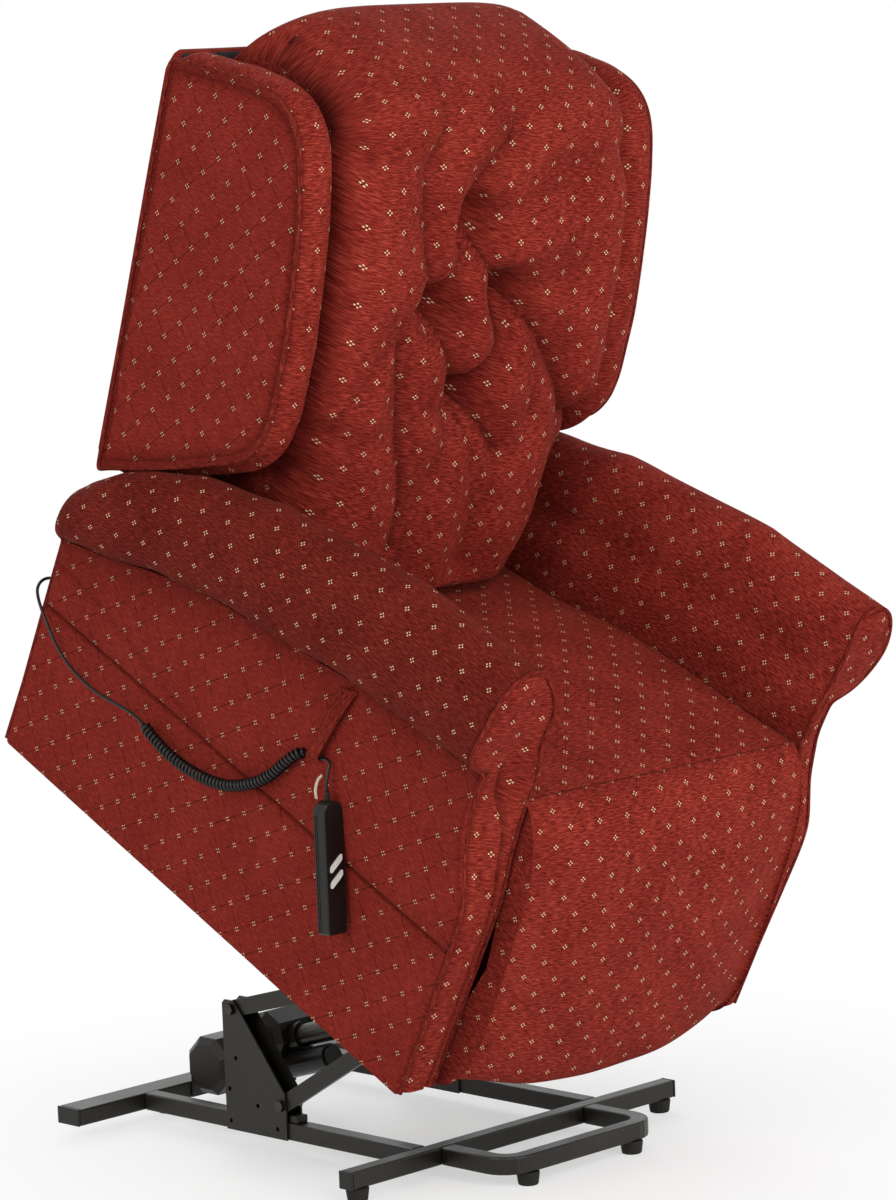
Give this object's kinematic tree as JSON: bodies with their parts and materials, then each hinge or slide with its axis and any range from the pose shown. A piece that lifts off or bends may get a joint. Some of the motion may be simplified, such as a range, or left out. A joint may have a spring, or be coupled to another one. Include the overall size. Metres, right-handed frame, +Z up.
{
  "type": "lift recliner chair",
  "caption": "Upholstered lift recliner armchair in its raised pose, with wings, a button-tufted back, a corded handset and a tilting lift linkage on a low steel base.",
  "frame": {"origin": "On the floor, below the middle of the object's bounding box, measured without the cord.", "axes": "+Z up; the chair faces -Y; +X is the sitter's left, the viewer's right from the front."},
  "size_m": [0.7938, 1.0507, 1.5914],
  "materials": {
    "black_paint": "semi-gloss black",
    "rubber": "matt",
    "black_plastic": "fine texture",
    "steel": "zinc plated",
    "upholstery": "red ribbed chenille with small pale figures",
    "plywood": "raw",
    "button_plastic": "satin white",
    "cord": "satin black"
  },
  "bodies": {
    "base": {"actuator_bracket": "black_paint", "front_crossbar": "black_paint", "front_left_cap": "black_plastic", "front_left_foot": "rubber", "front_right_cap": "black_plastic", "front_right_foot": "rubber", "left_lower_pivot_bolt": "black_paint", "left_rail": "black_paint", "left_side_bracket": "black_paint", "left_stop_block": "rubber", "left_upper_pivot_bolt": "black_paint", "loop_left_foot": "rubber", "loop_right_foot": "rubber", "power_unit": "black_plastic", "power_unit_plate": "black_paint", "rear_crossbar": "black_paint", "rear_left_cap": "black_plastic", "rear_left_foot": "rubber", "rear_right_cap": "black_plastic", "rear_right_foot": "rubber", "right_lower_pivot_bolt": "black_paint", "right_rail": "black_paint", "right_side_bracket": "black_paint", "right_stop_block": "rubber", "right_upper_pivot_bolt": "black_paint", "toe_loop": "black_paint"},
    "actuator_body": {"actuator_housing": "black_plastic", "actuator_tube": "steel"},
    "actuator_rod": {"actuator_rod": "steel"},
    "backrest": {"back_cushion": "upholstery", "back_frame": "plywood", "left_wing": "upholstery", "outer_back": "upholstery", "right_wing": "upholstery"},
    "chair": {"control_box": "black_plastic", "cord_curl": "cord", "cord_grommet": "rubber", "cord_tail": "cord", "left_arm": "upholstery", "left_carriage_plate": "black_paint", "right_arm": "upholstery", "right_carriage_plate": "black_paint", "seat_cushion": "upholstery", "seat_frame": "plywood", "strap_loop": "upholstery"},
    "handset": {"cord_lead": "cord", "handset_front": "black_plastic", "handset_rear": "black_plastic", "handset_strain_relief": "rubber"},
    "down_button": {"down_button": "button_plastic"},
    "lower_links": {"left_lower_link": "black_paint", "right_lower_link": "black_paint"},
    "upper_links": {"left_upper_link": "black_paint", "right_upper_link": "black_paint", "torque_tube": "black_paint"},
    "legrest": {"legrest_board": "plywood", "legrest_pad": "upholstery"},
    "up_button": {"up_button": "button_plastic"}
  },
  "joints": [
    {"name": "lift", "type": "hinge", "parent": "base", "child": "upper_links", "pos_m": [0, 0.2405, 0.194], "axis": [1, 0, 0], "range_deg": [0, 20.87]},
    {"name": "lower_links_turn", "type": "hinge", "parent": "base", "child": "lower_links", "pos_m": [0, 0.1447, 0.068], "axis": [1, 0, 0], "range_deg": [0, 28.93]},
    {"name": "carriage_turn", "type": "hinge", "parent": "upper_links", "child": "chair", "pos_m": [0, -0.18183, 0.30874], "axis": [1, 0, 0], "range_deg": [-48.83, 0]},
    {"name": "actuator_tilt", "type": "hinge", "parent": "base", "child": "actuator_body", "pos_m": [0.035, 0.457, 0.066], "axis": [1, 0, 0], "range_deg": [0, 10.88]},
    {"name": "actuator_stroke", "type": "slide", "parent": "actuator_body", "child": "actuator_rod", "axis": [0, -0.9617, 0.2742], "range_m": [-0.03146, 0]},
    {"name": "handset_swing", "type": "hinge", "parent": "chair", "child": "handset", "pos_m": [-0.3556, -0.15041, 0.61065], "axis": [1, 0, 0], "range_deg": [0, 27.96]},
    {"name": "recline", "type": "hinge", "parent": "chair", "child": "backrest", "pos_m": [0, 0.23646, 0.58076], "axis": [-1, 0, 0], "range_deg": [0, 25]},
    {"name": "legrest_raise", "type": "hinge", "parent": "chair", "child": "legrest", "pos_m": [0, -0.38549, 0.49415], "axis": [-1, 0, 0], "range_deg": [0, 80]},
    {"name": "up_button_press", "type": "slide", "parent": "handset", "child": "up_button", "axis": [0, 1, 0], "range_m": [0, 0.0015], "stiffness_N_per_m": 200},
    {"name": "down_button_press", "type": "slide", "parent": "handset", "child": "down_button", "axis": [0, 1, 0], "range_m": [0, 0.0015], "stiffness_N_per_m": 200}
  ],
  "couplings": [
    {"joint": "lower_links_turn", "follows": "lift", "ratio": 1.3861},
    {"joint": "carriage_turn", "follows": "lift", "ratio": -2.3392},
    {"joint": "actuator_tilt", "follows": "lift", "ratio": 0.52086},
    {"joint": "actuator_stroke", "follows": "lift", "m_per_rad": -0.086342},
    {"joint": "handset_swing", "follows": "lift", "ratio": 1.3392}
  ]
}
